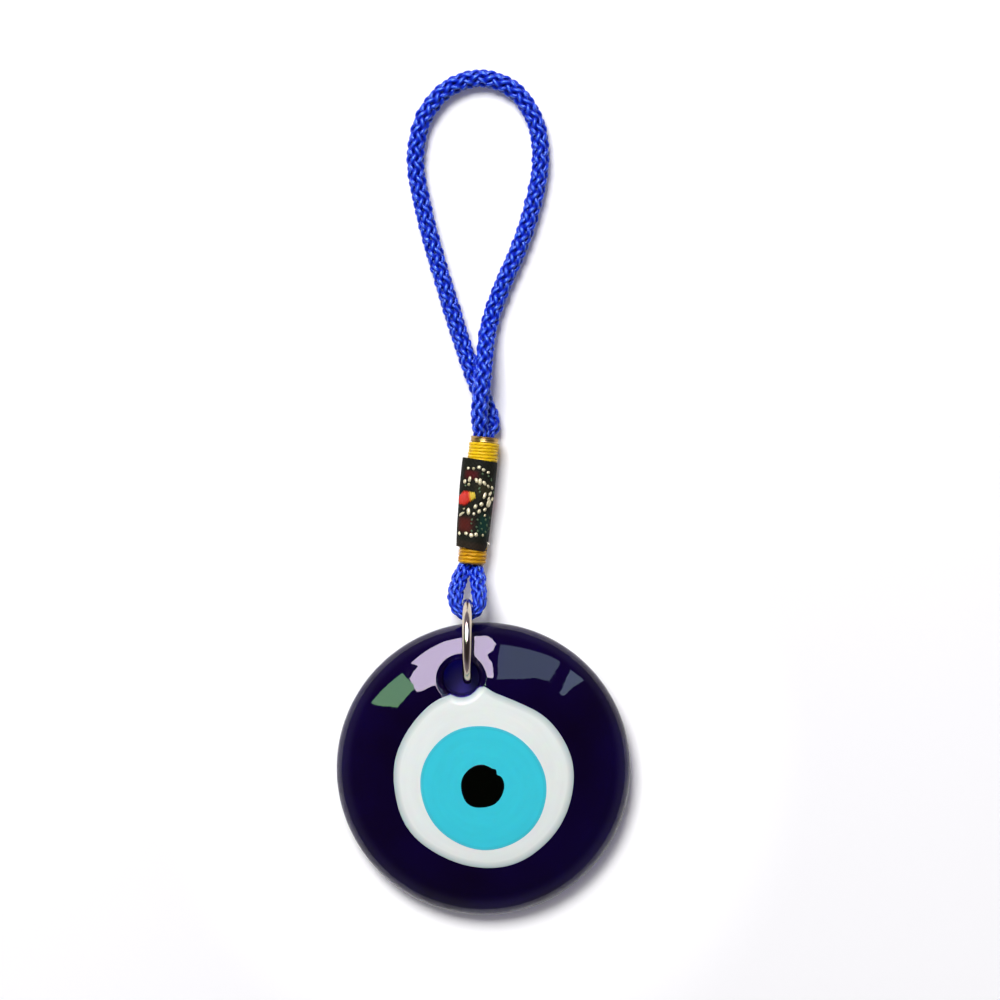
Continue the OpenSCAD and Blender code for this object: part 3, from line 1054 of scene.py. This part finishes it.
def silk_stitches():
    """The red to yellow motif, and small dull green floats."""
    rng = np.random.default_rng(5)
    red, orange, yellow = (0.66, 0.008, 0.008), (0.75, 0.2, 0.01), (0.8, 0.6, 0.05)
    green = (0.05, 0.13, 0.07)
    found = []
    for copy in (-1, 0, 1):
        shift = copy * PATTERN_REPEAT
        for k in range(12):
            share = k / 11
            across = (-2.35 + 2.05 * share) * MM
            colour = red if share < 0.68 else orange if share < 0.8 else yellow
            tall = (1.95 - 1.8 * abs(share - 0.4)) * MM
            down = (4.95 - 0.75 * share) * MM
            if abs(across + shift) < HALF_ROUND:
                found.append((down, across + shift, tall, 0.26 * MM, 0.25, 0.18 * MM, colour))
        for down, across in DULL_FLOATS:
            at = across * MM + shift
            if abs(at) < HALF_ROUND:
                long = rng.uniform(0.24, 0.42) * MM
                lean = rng.uniform(-0.8, 0.8)
                found.append((down * MM, at, long, 0.24 * MM, lean, 0.09 * MM, green))
    return found


def add_brocade():
    add_ribbon()
    add_stitches("brocade_cream_floats", cream_stitches(), float_material("lurex", 0.3, 0.35))
    add_stitches("brocade_silk_floats", silk_stitches(), float_material("silk", 0.4, 0.0))


# ---------------------------------------------------------------- table, light and surroundings

PALE_TABLE = (0.94, 0.94, 0.95)
# painted on the table under the disc: blue light and shade, for the light that the disc's cobalt
# lets through
PAINTED_COBALT_LIGHT = (0.018, 0.007, 0.3)
# the table's glow, painted light, as (distance from the disc's middle, strength): none under the
# disc, a painted shadow;
# more round the disc, which paints out the disc's cast shadow, and far away, as on an overexposed
# white sweep; and less under the strap
PAINTED_TABLE_LIGHT = [(DISC_R, 0.0), (DISC_R * 1.03, 0.22), (DISC_R * 1.5, 0.2), (DISC_R * 2.2, 0.08),
              (0.12, 0.12), (0.9, 0.9)]
TABLE_HALF = 2.0


def add_floor():
    """A pale table, with painted blue light and painted shade under the disc, and a painted glow
    round it.
    """
    corners = [(x * TABLE_HALF, y * TABLE_HALF, 0) for x, y in ((-1, -1), (1, -1), (1, 1), (-1, 1))]
    table, tree, shader = new_material("pale_table", PALE_TABLE, 0.7)
    place = node(tree, "ShaderNodeTexCoord").outputs["Object"]
    away = node(tree, "ShaderNodeVectorMath", {0: place}, operation="LENGTH").outputs["Value"]
    # inside the disc's footprint the table is painted blue and dark, as light and shade through the
    # cobalt
    inputs = {"Value": away, "From Min": DISC_R * 0.84, "From Max": DISC_R * 0.94}
    outside = node(tree, "ShaderNodeMapRange", inputs).outputs["Result"]
    inputs = {"Factor": outside, 6: (*PAINTED_COBALT_LIGHT, 1), 7: (*PALE_TABLE, 1)}
    tinted = node(tree, "ShaderNodeMix", inputs, data_type="RGBA").outputs[2]
    tree.links.new(tinted, shader.inputs["Base Color"])
    # emission painted on the table as listed above: painted shadow under the disc, painted light
    # round it
    glow = ramp(tree, away, [(at, (much, much, much)) for at, much in PAINTED_TABLE_LIGHT])
    shader.inputs["Emission Color"].default_value = (1, 1, 1, 1)
    tree.links.new(glow, shader.inputs["Emission Strength"])
    floor = new_object("table_top", corners, [(0, 1, 2, 3)], None, table)


def from_overhead(across, up):
    """The direction that tilts from overhead towards +X and towards +Y by these degrees."""
    tilt = math.radians(math.hypot(across, up))
    heading = math.atan2(across, up)
    return Vector((math.sin(heading) * math.sin(tilt), math.cos(heading) * math.sin(tilt),
                   math.cos(tilt)))


def add_softbox(name, across, up, width, height, radiance, colour):
    """An area light a metre from the disc, its width and height in degrees."""
    way = from_overhead(across, up)
    side = Vector((way.z, 0, -way.x)).normalized()
    data = bpy.data.lights.new(name, "AREA")
    data.shape = "RECTANGLE"
    data.size = 2 * math.tan(math.radians(width / 2))
    data.size_y = 2 * math.tan(math.radians(height / 2))
    data.energy = radiance * math.pi * data.size * data.size_y
    data.color = colour
    made = bpy.data.objects.new(name, data)
    made.location = way
    made.rotation_mode = "QUATERNION"
    made.rotation_quaternion = Matrix((side, way.cross(side), way)).transposed().to_quaternion()
    made.visible_camera = False
    bpy.context.scene.collection.objects.link(made)
    return made


WINDOW_AWAY = 1.5


def add_window(name, corners, radiance, colour):
    """A bright pane that is seen in the gloss only, its corners as tilts from overhead."""
    points = [from_overhead(across, up) * WINDOW_AWAY for across, up in corners]
    glow = bpy.data.materials.new(name)
    glow.use_nodes = True
    tree = glow.node_tree
    tree.nodes.clear()
    inputs = {"Color": (*colour, 1), "Strength": radiance}
    light = node(tree, "ShaderNodeEmission", inputs)
    output = node(tree, "ShaderNodeOutputMaterial")
    tree.links.new(light.outputs["Emission"], output.inputs["Surface"])
    faces = [tuple(range(len(points)))]
    pane = new_object(name, points, faces, None, glow, smooth=False)
    pane.visible_camera = False
    pane.visible_diffuse = False
    pane.visible_shadow = False


LILAC = (1.05, 0.9, 1.2)
SKY_GREY = (0.8, 1.05, 1.4)
LEAF_GREEN = (0.48, 1, 0.48)


def add_lights():
    """One soft light for the shading, and the windows that the glass, metal and silk mirror."""
    key = add_softbox("soft_key", -14, 32, 24, 24, 20, (1, 1, 0.99))
    key.visible_glossy = False
    key_corners = [(-20, 50), (-26, 41), (-29, 32), (-22, 24), (-21, 16), (-12, 4.5), (1, 5),
                   (2, 14), (0.5, 21), (3.5, 27), (5.5, 36), (4.5, 45), (2, 53)]
    add_window("key_window", key_corners, 12.5, LILAC)
    add_window("right_window", [(2, 4.5), (15, 10.5), (34, 38), (7, 36)], 1.5, SKY_GREY)
    add_window("far_right_window", [(15.5, 7), (17, 7), (48, 32), (38, 34)], 2.1, SKY_GREY)
    add_window("left_window", [(-20, 2.5), (-14, 8), (-30, 25), (-46, 17)], 5.8, LEAF_GREEN)


def add_world():
    """Pale light from low all round, and a dark ceiling."""
    world = bpy.data.worlds.new("room")
    world.use_nodes = True
    bpy.context.scene.world = world
    tree = world.node_tree
    tree.nodes.clear()
    way = node(tree, "ShaderNodeTexCoord").outputs["Generated"]
    height = node(tree, "ShaderNodeSeparateXYZ", {0: way}).outputs["Z"]
    stops = [(0.0, (0.24, 0.22, 0.3)), (0.35, (0.2, 0.18, 0.26)), (0.55, (0.05, 0.04, 0.045)),
             (1.0, (0.025, 0.018, 0.02))]
    sky = node(tree, "ShaderNodeBackground", {"Color": ramp(tree, height, stops)})
    output = node(tree, "ShaderNodeOutputWorld")
    tree.links.new(sky.outputs["Background"], output.inputs["Surface"])


bpy.context.scene.view_settings.view_transform = "Standard"
add_camera()
add_cord()
add_glass()
add_inlays()
add_ring()
add_tube()
add_windings()
add_brocade()
add_floor()
add_lights()
add_world()
